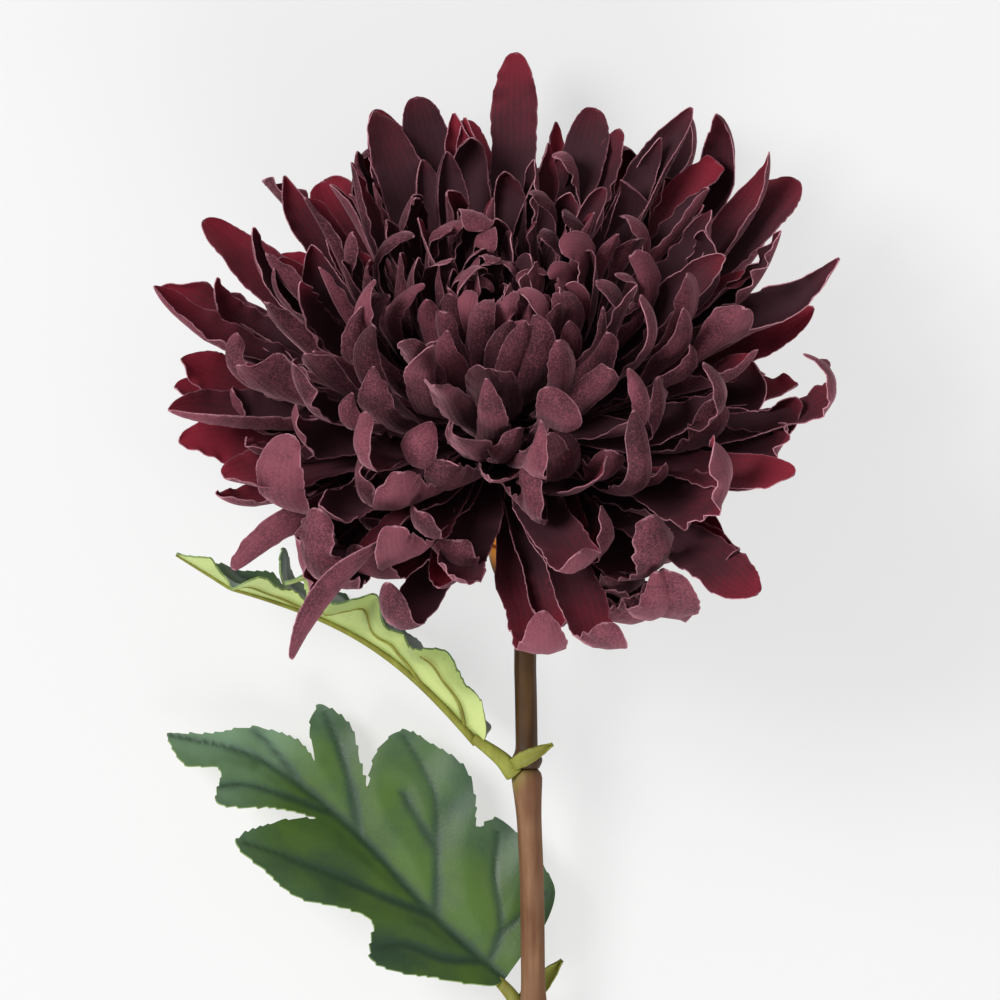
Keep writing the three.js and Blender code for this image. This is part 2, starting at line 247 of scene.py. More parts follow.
def new_group(name, colours, numbers, results):
    """An empty node group, with its inputs and what its outputs take."""
    tree = bpy.data.node_groups.new(name, "ShaderNodeTree")

    def socket(label, way, kind):
        return tree.interface.new_socket(name=label, in_out=way, socket_type="NodeSocket" + kind)

    for label in colours:
        socket(label, "INPUT", "Color")
    for label, value in numbers.items():
        socket(label, "INPUT", "Float").default_value = value
    for label in results:
        socket(label, "OUTPUT", "Color" if label == "Color" else "Float")
    given = add_node(tree, "NodeGroupInput").outputs
    return tree, given, add_node(tree, "NodeGroupOutput").inputs


def use_group(tree, shader, group_tree, colours, numbers, bump, depth):
    """Place a node group in a material. Its height becomes relief, of a depth in metres."""
    group = add_node(tree, "ShaderNodeGroup", node_tree=group_tree)
    for label, colour in colours.items():
        group.inputs[label].default_value = srgb(colour)
    for label, number in numbers.items():
        feed(tree, number, group.inputs[label])
    add_relief(tree, shader, group.outputs["Height"], bump, depth)
    tree.links.new(group.outputs["Color"], shader.inputs["Base Color"])
    return group.outputs


def add_relief(tree, shader, height, strength, depth):
    relief = add_node(tree, "ShaderNodeBump", {"Strength": strength, "Distance": depth})
    tree.links.new(height, relief.inputs["Height"])
    tree.links.new(relief.outputs["Normal"], shader.inputs["Normal"])


# %% The node group for the cloth's faces and edge
RIB_WAVE = 50.0  # radians of the rib wave across a petal, about eight ribs
# RIB_SHADE paints shade into the colour where the ribs dip.
RIB_SHADE = 0.035
# From this share on, the painted shade at the foot of a petal has turned to painted light towards its
# tip.
BRIGHTER_FROM = 0.7  # share of the petal's length where its tip begins to be brighter
FRAY = 0.06  # how uneven the worn band along the edge is
SIDE_BAND = (0.465, 0.5)  # the worn band at the sides, from the middle line
END_BAND = (0.965, 0.99)  # and at the tip


def cloth_group():
    tree, given, result = new_group(
        "dyed_cloth", ["Deep", "Bright", "Edge"],
        {"Tint": 0.5, "Lift": 0.5, "Nap": 0.5, "Blotch": 0.3, "Wear": 0.5}, ["Color", "Height"],
    )
    split = add_node(tree, "ShaderNodeSeparateXYZ")
    feed(tree, add_node(tree, "ShaderNodeTexCoord").outputs["UV"], split.inputs[0])
    across, along = split.outputs["X"], split.outputs["Y"]

    blotch = added(tree, ramp(tree, cloud(tree, 150, 3), 0.3, 0.7), -0.5)
    grain = cloud(tree, 2300, 2, 0.7)
    speck = added(tree, ramp(tree, grain, 0.42, 0.66), -0.4)
    ribs = maths(tree, "SINE", times(tree, across, RIB_WAVE))
    share = added(tree, given["Tint"], times(tree, blotch, given["Blotch"]))
    # Painted shade towards the foot of the petal and painted light towards its tip.
    towards_tip = added(tree, along, -BRIGHTER_FROM)
    share = added(tree, share, times(tree, towards_tip, given["Lift"]))
    # Painted shade in the hollows of the pressed ribs.
    share = added(tree, share, times(tree, ribs, RIB_SHADE))
    share = added(tree, share, times(tree, speck, given["Nap"]))
    body = mixed(tree, ramp(tree, share, 0.0, 1.0), given["Deep"], given["Bright"])
    from_middle = maths(tree, "ABSOLUTE", added(tree, across, -0.5))
    ragged = times(tree, added(tree, cloud(tree, 900, 2), -0.5), FRAY)
    side = ramp(tree, added(tree, from_middle, ragged), *SIDE_BAND)
    end = ramp(tree, added(tree, along, ragged), *END_BAND)
    worn = times(tree, maths(tree, "MAXIMUM", side, end), given["Wear"])
    feed(tree, mixed(tree, worn, body, given["Edge"]), result["Color"])
    feed(tree, added(tree, grain, times(tree, ribs, 0.4)), result["Height"])
    return tree


DYED_CLOTH = cloth_group()


# %% The cloth's inner face, its back and its cut edge
def cloth_material(name, colours, tint, roughness, bump, **numbers):
    """Dyed cloth. tint names the petals' attribute that says how bright each petal is. On the backs and
    the edges that is a random tone; on the inner face it is painted light shining through the cloth.
    """
    made, tree, shader = new_material(name, colours["Bright"], roughness)
    numbers["Tint"] = attribute(tree, tint)
    use_group(tree, shader, DYED_CLOTH, colours, numbers, bump, CLOTH_RELIEF)
    set_inputs(shader, {"Specular IOR Level": LOW_GLOSS})
    return made, shader


def add_nap(shader, weight, tint):
    """Light that grazes the short hairs of the cloth."""
    set_inputs(shader, {
        "Sheen Weight": weight, "Sheen Roughness": NAP_ROUGHNESS, "Sheen Tint": srgb(tint)
    })


CLOTH_RELIEF = 0.1 * MM
NAP_ROUGHNESS = 0.4
# The inner face takes its brightness from painted light shining through the cloth of the outer whorls,
# with less of it deeper in the head and a random spread per petal.
inner_cloth, shader = cloth_material(
    "petal_inner", {"Deep": "#381c24", "Bright": "#801c2d", "Edge": "#8e5562"},
    "glow", roughness=0.8, bump=0.3, Lift=1.4, Nap=0.12, Blotch=0.12, Wear=0.6,
)
add_nap(shader, 0.25, "#c07888")
back_cloth, shader = cloth_material(
    "petal_back", {"Deep": "#35171f", "Bright": "#773e4a", "Edge": "#b07c88"},
    "tint", roughness=0.75, bump=0.5, Lift=0.4, Nap=0.45, Blotch=0.35, Wear=0.6,
)
add_nap(shader, 0.45, "#ecaebb")
cut_edge, shader = cloth_material(
    "petal_edge", {"Deep": "#5a2c38", "Bright": "#c48e98", "Edge": "#a8707c"},
    "tint", roughness=0.9, bump=0.3, Lift=0.3, Nap=0.6, Blotch=0.8, Wear=0.5,
)
print("cloth materials:", inner_cloth.name, back_cloth.name, cut_edge.name)

# %% [markdown]
# ## Petals
# Every petal starts as a flat grid with its UV map. Its middle line is a curve from the ring on the
# receptacle to the tip, so first the curve is worked out as a row of stations, and then each row of the
# grid is laid across its station: cupped, twisted and crimped. Solidify gives the cloth its thickness
# afterwards, and turns the second face and the rim over to their own materials. A petal is stiff pressed
# cloth that holds its own bend, so the points are moved by formula and no cloth is simulated.

# %% How one petal bends
PETAL_ROWS = 60
PETAL_COLUMNS = 8
TIP_CROWDING = 1.4  # rows lie closer towards the tip


def smooth(value, start, end):
    share = min(1.0, max(0.0, (value - start) / (end - start)))
    return share * share * (3 - 2 * share)


def curl_share(share, start):
    return max(0.0, (share - start) / (1 - start)) ** 1.3


def stations(petal):
    """Centre, sideways and inward directions at each row, in the head's axes."""
    shares = [1 - (1 - i / PETAL_ROWS) ** TIP_CROWDING for i in range(PETAL_ROWS + 1)]
    bends = [-petal.bow * s - petal.curl * curl_share(s, petal.curl_from) for s in shares]
    path = [Vector((0.0, 0.0))]
    for i in range(PETAL_ROWS):
        bend = (bends[i] + bends[i + 1]) / 2
        step = Vector((sin(bend), cos(bend))) * (shares[i + 1] - shares[i])
        path.append(path[-1] + step)
    out, along = petal.start
    tip = Vector((petal.reach * sin(petal.polar) - out, petal.reach * cos(petal.polar) - along))
    turn = atan2(tip.x, tip.y) - atan2(path[-1].x, path[-1].y)
    length = tip.length / path[-1].length
    sideways = round_axis(1, petal.azimuth + pi / 2, 0)
    result = []
    for share, bend, place in zip(shares, bends, path):
        r = out + length * (place.x * cos(turn) + place.y * sin(turn))
        z = along + length * (place.y * cos(turn) - place.x * sin(turn))
        angle = bend + turn
        centre = round_axis(r, petal.azimuth, z) + sideways * petal.sway * length * share**2
        inward = round_axis(-cos(angle), petal.azimuth, sin(angle))
        forward = round_axis(sin(angle), petal.azimuth, cos(angle))
        roll = Matrix.Rotation(petal.twist * smooth(share, 0.15, 1.0), 3, forward)
        result.append((share, centre, roll @ sideways, roll @ inward))
    return result, length


CLAW_END = 0.45  # share of the length where the narrow foot has reached the full width
CLAW_WIDTH = 0.32
TIP_START = 0.74
WOBBLE = 0.14
WOBBLE_WAVE = 7 * MM


def half_width(petal, share, length):
    opening = sin(pi / 2 * min(1.0, share / CLAW_END)) ** 1.2
    claw = CLAW_WIDTH + (1 - CLAW_WIDTH) * opening
    end = max(0.0, (share - TIP_START) / (1 - TIP_START))
    close = (1 - end ** (2.6 / petal.point)) ** (0.5 * petal.point) if end < 1 else 0.0
    wobble = WOBBLE * noise.noise(Vector((share * length / WOBBLE_WAVE, petal.phase, 0)))
    return petal.width / 2 * (claw * (0.04 + 0.96 * close) + wobble * claw * close)


# %% Keep petals and leaves off the surface
TOUCH = 0.5 * MM  # how near the surface a point may lie
SOFT_LANDING = 2.5 * MM


def above_surface(point):
    """The same point, eased onto the surface where it would go through."""
    if point.z < TOUCH + SOFT_LANDING:
        point.z = TOUCH + SOFT_LANDING * exp((point.z - TOUCH - SOFT_LANDING) / SOFT_LANDING)
    return point


# %% Lay a grid along the bend
CRIMP_WAVE = 3 * MM  # lengths of the waves along a petal
FRAY_WAVE = 0.8 * MM
CRIMP_PATCH = 12 * MM
CUP_WAVE = 25 * MM
ROLL_WAVE = 14 * MM
SAG_WAVE = 20 * MM
DRIFT_WAVE = 22 * MM
RIB_HEIGHT = 0.1 * MM  # heights of the waves
ROLL_HEIGHT = 1.3 * MM
SAG = 1.2 * MM
LEAST_CUP = 0.1


def uneven(place, wave, phase, salt=0.0):
    """A smooth random wave from about -1 to 1 along a petal."""
    return 1.6 * noise.noise(Vector((place / wave, phase, salt)))


def add_petal(bm, tint_layer, glow_layer, petal):
    rows, length = stations(petal)
    made = bmesh.ops.create_grid(
        bm, x_segments=PETAL_COLUMNS, y_segments=PETAL_ROWS, size=0.5, calc_uvs=True
    )
    for vert in made["verts"]:
        across = 2 * vert.co.x
        share, centre, sideways, inward = rows[round((vert.co.y + 0.5) * PETAL_ROWS)]
        half = half_width(petal, share, length)
        place = share * length
        left = copysign(1.0, across)

        def wave(size, salt):
            return uneven(place, size, petal.phase, salt)

        lean = (petal.lopsided + 0.35 * wave(CUP_WAVE, 30)) * left
        cup = petal.cup * (0.5 + 0.5 * smooth(share, 0.1, 0.6)) * (1 + max(-0.85, lean))
        cup = max(LEAST_CUP, cup)
        radius = half / cup
        side = radius * sin(cup * across) * (1 + 0.04 * wave(FRAY_WAVE, across * 3))
        rise = radius * (1 - cos(cup * across))

        # The foot is held by the ring, so the waves begin above it.
        grip = smooth(share, 0.15, 0.5) * min(1.0, half / (2 * MM))
        above_foot = smooth(share, 0.1, 0.5)
        crimp = wave(CRIMP_WAVE, 5 * left) * (0.6 + wave(CRIMP_PATCH, 5 * left + 1))
        rise += petal.crimp * abs(across) ** 3 * crimp * grip
        rise += RIB_HEIGHT * cos(3 * pi * across) * grip
        rise += ROLL_HEIGHT * wave(ROLL_WAVE, 9) * across * grip
        rise += SAG * wave(SAG_WAVE, 15) * above_foot
        side += SAG * wave(DRIFT_WAVE, 21) * above_foot
        vert.co = above_surface(TO_ROW @ (centre - sideways * side + inward * rise))
        vert[tint_layer] = petal.tint
        vert[glow_layer] = petal.glow


# %% Make a whorl's cloth
CLOTH_THICKNESS = 0.22 * MM


def thicken(obj, name, thickness):
    """Give a sheet its wall, with the second material on its back and the third on its rim."""
    wall = obj.modifiers.new(name, "SOLIDIFY")
    wall.thickness = thickness
    wall.offset = -1
    wall.material_offset = 1
    wall.material_offset_rim = 2


def soften(bm):
    """Smooth faces, with sharp edges where the sheet ends."""
    for face in bm.faces:
        face.smooth = True
    for edge in bm.edges:
        edge.smooth = not edge.is_boundary


def stand_in(obj, node):
    """Take the place of a CAD node."""
    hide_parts(node)
    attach(obj, "root")
    return obj


def cloth_piece(number, petals):
    node = f"petal_whorl_{number:02d}"
    bm = bmesh.new()
    bm.loops.layers.uv.new("cloth")
    tint_layer = bm.verts.layers.float.new("tint")
    # Painted light on each petal's inner face.
    glow_layer = bm.verts.layers.float.new("glow")
    for petal in petals:
        add_petal(bm, tint_layer, glow_layer, petal)
    soften(bm)
    obj = new_object(node + "_cloth", bm, [inner_cloth, back_cloth, cut_edge])
    thicken(obj, "cloth thickness", CLOTH_THICKNESS)
    print(obj.name, "has", len(petals), "petals")
    return stand_in(obj, node)


# %% [markdown]
# ## The whorls
# The lowest five whorls hold the long petals. Each is listed by its direction, its reach and its habit,
# so that the tips stand where the photograph shows them against the background. A shorter petal between
# most of them fills the head. The nine whorls of the dome are spaced evenly, and a random spread makes
# them look hand-made. In front, which is below in the picture, the lowest petals hang and crumple, and
# the ones near the eye close over it.

# %% Where each whorl starts
RING_PITCH = 1.6 * MM
RING_HEIGHT = 0.7 * MM
RECEPTACLE_HEIGHT = 26 * MM
RING_CLEARANCE = 0.6 * MM


def ring_start(whorl):
    along = -BASE_DEPTH + RING_HEIGHT / 2 + RING_PITCH * whorl
    share = (along + BASE_DEPTH) / RECEPTACLE_HEIGHT
    return BASE_RADIUS * sqrt(1 - share * share) + RING_CLEARANCE, along


def reach_above_surface(azimuth, polar, reach):
    fall = sin(polar) * sin(azimuth) * cos(RISE) - cos(polar) * sin(RISE)
    return min(reach, (HEAD.z + 1.5 * MM) / fall) if fall > 0 else reach


# %% How the petals are bent
# Angles in degrees. A pair is a middle value and the most that a petal differs from it.
Habit = namedtuple("Habit", "bow curl curl_from twist cup point")
HABITS = {
    "open": Habit((10, 12), (15, 35), 0.65, 28, (0.75, 0.3), (1.0, 0.25)),
    "hook": Habit((8, 12), (80, 45), 0.7, 25, (1.1, 0.3), (1.6, 0.4)),
    "folded": Habit((15, 12), (25, 30), 0.6, 50, (1.4, 0.3), (1.5, 0.4)),
    "spoon": Habit((45, 16), (60, 45), 0.5, 40, (1.2, 0.4), (1.3, 0.5)),
    "leaning": Habit((38, 18), (15, 45), 0.6, 55, (1.3, 0.45), (1.5, 0.5)),
    "curled": Habit((30, 12), (115, 45), 0.66, 45, (1.0, 0.4), (1.1, 0.4)),
    "ruffled": Habit((20, 14), (60, 120), 0.66, 70, (0.6, 0.45), (0.8, 0.15)),
    "flat": Habit((8, 6), (10, 15), 0.6, 10, (0.45, 0.15), (0.95, 0.15)),
    "tongue": Habit((5, 8), (100, 30), 0.8, 15, (0.6, 0.2), (1.0, 0.15)),
    "crumpled": Habit((20, 15), (105, 40), 0.56, 60, (0.9, 0.4), (1.0, 0.2)),
    "drooping": Habit((-50, 6), (-30, 10), 0.6, 30, (1.0, 0.1), (1.15, 0.1)),
}
LEAST_PETAL_CUP = 0.15
SHOW_BACK = 30  # degrees that the petals at both sides of the dome are rolled towards the camera


def bent_petal(chance, habit, place, width, tint, glow, crimp, roll=0.0, sway=(0, 0.11)):
    """What one petal looks like. Lengths are in metres and angles in radians.

    place is its azimuth, polar angle, reach and start. curl is positive inwards. sway is how far the tip
    leans to one side, as a share of the length. point is 1 for a round tip and 2 for a pointed one. With
    lopsided above 0 a petal is cupped more on its left side than on its right.
    """
    def about(middle, spread):
        return middle + spread * chance.uniform(-1, 1)

    rules = HABITS[habit]
    azimuth, polar, reach, start = place
    return SimpleNamespace(
        azimuth=azimuth, polar=polar, reach=reach, start=start,
        bow=radians(about(*rules.bow)),
        curl=radians(about(*rules.curl)),
        curl_from=rules.curl_from + chance.uniform(-0.06, 0.06),
        twist=radians(about(-roll * cos(azimuth), rules.twist)),
        sway=about(*sway),
        cup=max(LEAST_PETAL_CUP, about(*rules.cup)),
        point=about(*rules.point),
        crimp=crimp * chance.uniform(0.3, 1.7),
        phase=chance.uniform(0, 50),
        width=width * chance.uniform(0.86, 1.12),
        tint=about(tint, 0.35),
        glow=about(glow, 0.3),
        lopsided=chance.uniform(-0.6, 0.6),
    )


# %% The long petals
# Widths and reaches in mm, angles in degrees. Behind a habit stand the azimuth and the reach of each
# petal that has it. In front a whorl hangs lower by its droop.
# Each whorl's last number before its petals is the painted light shining through its inner faces, most on
# the outermost whorl and less further in.
LONG_WHORLS = [
    dict(width=12.5, polar=98, droop=5, tint=0.5, glow=0.75, petals=[
        ("open", (15, 60), (38, 60), (62, 60), (85, 60), (108, 60),
        (131, 60), (154, 60), (176, 58), (198, 58)), ("drooping", (228, 72), (247, 84)),
        ("hook", (257, 56), (281, 66)), ("crumpled", (298, 62)), ("open", (323, 60), (346, 60)),
    ]),
    dict(width=13, polar=90, droop=4, tint=0.5, glow=0.55, petals=[
        ("open", (3, 64)), ("hook", (25, 66)),
        ("open", (48, 68), (70, 68), (92, 68), (114, 68), (136, 68)), ("folded", (158, 68)),
        ("open", (178, 70), (195, 71)), ("hook", (209, 69)), ("crumpled", (229, 64)),
        ("curled", (240, 58)), ("crumpled", (249, 66)), ("hook", (260, 60)), ("crumpled", (277, 71)),
        ("tongue", (287, 77)), ("crumpled", (301, 68)), ("flat", (311, 84)), ("hook", (336, 66)),
    ]),
    dict(width=13.5, polar=81, droop=3, tint=0.5, glow=0.3, petals=[
        ("folded", (13, 70), (35, 72)), ("open", (57, 72)), ("folded", (79, 72)),
        ("open", (101, 72), (123, 72), (145, 72)), ("folded", (166, 77)), ("open", (182, 69)),
        ("folded", (195, 74)), ("flat", (216, 72)), ("crumpled", (234, 64), (250, 60)),
        ("tongue", (284, 68)), ("crumpled", (302, 62)), ("flat", (325, 77)), ("hook", (347, 66)),
    ]),
    dict(width=12.5, polar=70, droop=4, tint=0.5, glow=0.25, petals=[
        ("folded", (9, 78)), ("flat", (31.5, 80)), ("open", (45, 72)), ("hook", (58, 80)),
        ("flat", (68, 68)), ("folded", (80, 70)), ("open", (96, 70)), ("flat", (112, 76)),
        ("folded", (129, 62), (139, 71)), ("flat", (158, 74)), ("folded", (178, 78)),
        ("leaning", (199, 62)), ("crumpled", (221, 62)), ("curled", (245, 56)), ("folded", (268, 52)),
        ("spoon", (293, 56)), ("curled", (317, 64), (344, 71)),
    ]),
    dict(width=12, polar=61, droop=3, tint=0.5, glow=0.15, petals=[
        ("leaning", (12, 70)), ("folded", (31, 77)), ("curled", (46, 77)), ("folded", (53, 76)),
        ("flat", (70, 69), (87.5, 80)), ("folded", (100, 66)), ("flat", (108, 71), (115, 70)),
        ("leaning", (125, 62)), ("folded", (144, 66)), ("leaning", (162, 63), (186, 58)),
        ("spoon", (210, 57)), ("curled", (234, 54)), ("leaning", (258, 52), (283, 52)),
        ("spoon", (308, 53)), ("curled", (330, 56)), ("leaning", (351, 60)),
    ]),
]

FILLERS = ["folded", "leaning", "curled", "open", "hook"]  # shorter petals between the listed ones
FRINGE_FILLERS = ["crumpled", "curled", "crumpled", "hook"]  # the same in front
FRINGE = (205, 335)
CALYX_GAP = (245, 262)  # no fillers here in the three lowest whorls, so that the calyx shows
GAP_WHORLS = 3
FILLER_TURN = 11
FILLER_WIDTH = 0.85
LISTED_SWAY = (0, 0.02)
FILLER_SWAY = (0, 0.11)
DROOPING_ROLL = 230  # degrees, so that the two petals that hang furthest show their backs
DROOPING_SWAY = (-0.2, 0.02)
DROOPING_WIDTH = 0.7
CRIMP = 1.3
DEEP_CRIMP = 2.2


def listed(whorl):
    return [(*place, habit) for habit, *places in whorl["petals"] for place in places]


def fillers(number, whorl):
    chance = random.Random(number + 1)
    made = []
    for azimuth, reach, habit in listed(whorl):
        gap = number < GAP_WHORLS and CALYX_GAP[0] < azimuth < CALYX_GAP[1]
        if habit == "drooping" or gap:
            continue
        turn = azimuth + FILLER_TURN + chance.uniform(-3, 3)
        shorter = reach * chance.uniform(0.76, 0.88)
        habits = FRINGE_FILLERS if FRINGE[0] < azimuth < FRINGE[1] else FILLERS
        made.append((turn, shorter, chance.choice(habits)))
    return made


def long_petal(number, whorl, azimuth, reach, habit, width_share, sway):
    """One petal of a long whorl, with random numbers of its own, so that it stays when others change."""
    own = random.Random(1000 * number + round(azimuth))
    turn = radians(azimuth)
    polar = radians(whorl["polar"] + whorl["droop"] * max(0.0, -sin(turn)))
    reach = reach_above_surface(turn, polar, reach * MM)
    width = whorl["width"] * width_share * MM
    crimp = (DEEP_CRIMP if habit in ("drooping", "crumpled") else CRIMP) * MM
    roll = 0.0
    if habit == "drooping":
        width, roll, sway = width * DROOPING_WIDTH, DROOPING_ROLL, DROOPING_SWAY
    return bent_petal(
        own, habit, (turn, polar, reach, ring_start(number)), width, whorl["tint"], whorl["glow"],
        crimp, roll, sway,
    )


for number, whorl in enumerate(LONG_WHORLS):
    petals = [long_petal(number, whorl, *row, 1.0, LISTED_SWAY) for row in listed(whorl)]
    petals += [
        long_petal(number, whorl, *row, FILLER_WIDTH, FILLER_SWAY) for row in fillers(number, whorl)
    ]
    cloth_piece(number + 1, petals)

# %% The dome and the eye
GOLDEN_ANGLE = 137.5
DOME_HABITS = ["spoon", "leaning", "curled", "leaning"]
DOME_WHORLS = [
    dict(count=17, polar=55, reach=55, width=9.5, habits=DOME_HABITS),
    dict(count=16, polar=48, reach=50, width=9, habits=DOME_HABITS),
    dict(count=16, polar=41.5, reach=45.5, width=8.8, habits=["leaning", "spoon", "leaning"]),
    dict(count=15, polar=35, reach=41.5, width=8.5, habits=DOME_HABITS),
    dict(count=14, polar=28.5, reach=38, width=8, habits=["spoon", "leaning"]),
    dict(count=13, polar=22.5, reach=35, width=7.5, habits=["leaning", "curled", "ruffled"]),
    dict(count=12, polar=16.5, reach=32.5, width=6, habits=["ruffled", "leaning", "ruffled"]),
    dict(count=11, polar=11, reach=31, width=5, habits=["ruffled"]),
    dict(count=9, polar=6, reach=30, width=4.5, habits=["ruffled"]),
]

DOME_TINT, EYE_TINT = 0.4, 0.8
DOME_CRIMP, EYE_CRIMP = 0.8 * MM, 1.2 * MM
AZIMUTH_SPREAD = 9  # degrees
POLAR_SPREAD = 5

for level, whorl in enumerate(DOME_WHORLS):
    number = level + len(LONG_WHORLS)
    chance = random.Random(number + 1)
    petals = []
    for i in range(whorl["count"]):
        turn = 360 / whorl["count"] * i + GOLDEN_ANGLE * level
        azimuth = radians(turn + chance.uniform(-AZIMUTH_SPREAD, AZIMUTH_SPREAD))
        polar = radians(whorl["polar"] + chance.uniform(-POLAR_SPREAD, POLAR_SPREAD))
        habit = chance.choice(whorl["habits"])
        reach = whorl["reach"] * MM * chance.uniform(0.9, 1.08)
        ruffled = habit == "ruffled"
        # The painted light on the inner faces falls from whorl to whorl towards the eye, so that deep in
        # the head it becomes painted shade.
        petals.append(bent_petal(
            chance, habit, (azimuth, polar, reach, ring_start(number)), whorl["width"] * MM,
            EYE_TINT if ruffled else DOME_TINT, 0.1 - 0.03 * level,
            EYE_CRIMP if ruffled else DOME_CRIMP, SHOW_BACK,
        ))
    cloth_piece(number + 1, petals)

# %% [markdown]
# ## Stems
# The stem is two lengths of moulded plastic over wire: a thin dark one under the head, plugged into a
# thicker red-brown one. A rod is made by cutting a cylinder into rows and laying each row across a
# smooth curve. The curve runs through the same points as the CAD model's, and the radius changes along
# it for the knob, the collar and the node that the lower leaf grows from.

# %% A curve and a rod along it
def curve_between(points, t):
    """A point on the centripetal Catmull-Rom curve through the points, with t from 0 to 1."""
    first = points[0] * 2 - points[1]
    last = points[-1] * 2 - points[-2]
    place = min(t, 1 - 1e-9) * (len(points) - 1)
    i = int(place)
    p = [first, *points, last][i : i + 4]
    knots = [0.0]
    for one, two in zip(p, p[1:]):
        knots.append(knots[-1] + max(1e-9, (two - one).length ** 0.5))
    at = knots[1] + (place - i) * (knots[2] - knots[1])

    def between(low, high, one, two):
        return one * ((high - at) / (high - low)) + two * ((at - low) / (high - low))

    a1, a2, a3 = (between(knots[j], knots[j + 1], p[j], p[j + 1]) for j in range(3))
    b1, b2 = between(knots[0], knots[2], a1, a2), between(knots[1], knots[3], a2, a3)
    return between(knots[1], knots[2], b1, b2)


def even_points(points, count):
    """Points at equal steps along the curve."""
    fine = [curve_between(points, i / (20 * count)) for i in range(20 * count + 1)]
    run = [0.0]
    for one, two in zip(fine, fine[1:]):
        run.append(run[-1] + (two - one).length)
    result, j = [], 0
    for i in range(count):
        goal = run[-1] * i / (count - 1)
        while j < len(run) - 2 and run[j + 1] < goal:
            j += 1
        share = (goal - run[j]) / max(1e-12, run[j + 1] - run[j])
        result.append(fine[j].lerp(fine[j + 1], min(1.0, share)))
    return result


def add_rod(bm, points, radius_at, sides=40):
    """A closed rod along the points. radius_at takes the share of the length and the angle round it."""
    before = len(bm.verts)
    made = bmesh.ops.create_cone(
        bm, cap_ends=True, segments=sides, radius1=1, radius2=1, depth=1
    )["verts"]
    rows = len(points) - 1
    walls = [e for e in {e for v in made for e in v.link_edges} if e.calc_length() < 1.001]
    walls = [e for e in walls if abs(e.verts[0].co.z - e.verts[1].co.z) > 0.5]
    bmesh.ops.subdivide_edges(bm, edges=walls, cuts=rows - 1, use_grid_fill=True)
    bm.verts.ensure_lookup_table()
    verts = bm.verts[before:]
    for vert in verts:
        share = vert.co.z + 0.5
        row = round(share * rows)
        along = (points[min(row + 1, rows)] - points[max(row - 1, 0)]).normalized()
        side = along.cross(Vector((0, 0, 1))).normalized()
        over = side.cross(along)
        angle = atan2(vert.co.y, vert.co.x)
        reach = radius_at(share, angle)
        vert.co = points[row] + (side * cos(angle) + over * sin(angle)) * reach
    return verts


def from_head(*offset):
    """A point given in mm from the head's centre."""
    return HEAD + Vector(offset) * MM


# %% Paint that follows the stem
ALONG_STEM = (1.0, 0.09, 1.0)  # the streaks are drawn out along the stem


def plastic_group():
    """Moulded plastic with streaks of a second paint along it and specks of wear."""
    tree, given, result = new_group(
        "streaked_plastic", ["Paint", "Streak"], {"Amount": 0.5}, ["Color", "Roughness", "Height"]
    )
    drawn_out = add_node(tree, "ShaderNodeMapping", {"Scale": ALONG_STEM})
    place = add_node(tree, "ShaderNodeTexCoord").outputs["Object"]
    feed(tree, place, drawn_out.inputs["Vector"])
    grain = add_node(tree, "ShaderNodeTexNoise", {"Scale": 420.0, "Detail": 4.0})
    feed(tree, drawn_out.outputs["Vector"], grain.inputs["Vector"])
    streaks, clouds = grain.outputs["Fac"], cloud(tree, 70, 4)
    wide = times(tree, ramp(tree, clouds, 0.35, 0.7), 0.6)
    share = times(tree, added(tree, ramp(tree, streaks, 0.35, 0.75), wide), given["Amount"])
    feed(tree, mixed(tree, share, given["Paint"], given["Streak"]), result["Color"])
    feed(tree, added(tree, times(tree, clouds, 0.25), 0.4), result["Roughness"])
    feed(tree, added(tree, streaks, times(tree, cloud(tree, 1700, 2), 0.4)), result["Height"])
    return tree


STREAKED_PLASTIC = plastic_group()
PLASTIC_RELIEF = 0.2 * MM


def plastic_material(name, paint, streak, amount=0.5, flush=None):
    """Streaked plastic. flush is a second paint that the attribute "flush" brings in."""
    made, tree, shader = new_material(name, paint, 0.45)
    set_inputs(shader, {"Specular IOR Level": LOW_GLOSS})
    paints = {"Paint": paint, "Streak": streak}
    given = use_group(tree, shader, STREAKED_PLASTIC, paints, {"Amount": amount}, 0.35, PLASTIC_RELIEF)
    feed(tree, given["Roughness"], shader.inputs["Roughness"])
    if flush:
        colour = mixed(tree, attribute(tree, "flush"), given["Color"], srgb(flush))
        feed(tree, colour, shader.inputs["Base Color"])
    return made


upper_paint = plastic_material("upper_stem_plastic", "#3a2512", "#5e4426", flush="#b8742c")
lower_paint = plastic_material("lower_stem_plastic", "#62402a", "#8c6a50", flush="#8a8446")

# %% The two stems
UPPER_STEM_RADIUS = 2.4 * MM
LOWER_STEM_RADIUS = 2.55 * MM
KNOB_SWELL = 1.0 * MM
NODE_SWELL = 0.8 * MM
NECK_SWELL = 0.9 * MM
ROLLED_RIM = 1.1 * MM
ROLLED_RIM_END = 0.009  # share of the lower stem
CALYX_END = 40.75  # mm below the head's centre, along its axis
head_end = from_head(0, -CALYX_END * cos(RISE), -CALYX_END * sin(RISE))
upper_node = from_head(5.8, -82, -31)
lower_node = from_head(7.4, -137, -37)
stem_end = from_head(15, -327, -47.2)
UPPER_ROUTE = [
    head_end, from_head(0.4, -37, -28.8), from_head(4.9, -48, -30.8), from_head(5.5, -62, -31),
    upper_node,
]
LOWER_ROUTE = [
    upper_node, from_head(6.9, -105, -33.4), lower_node, from_head(9.6, -200, -42.2),
    from_head(13, -264, -45.4), stem_end,
]


def swell(share, centre, width):
    return exp(-(((share - centre) / width) ** 2))


def upper_radius(share, angle):
    neck = NECK_SWELL * swell(share, 0, 0.06)
    ridge = 0.06 * MM * cos(5 * angle + 3 * share)
    return UPPER_STEM_RADIUS + neck + KNOB_SWELL * swell(share, 0.965, 0.03) + ridge


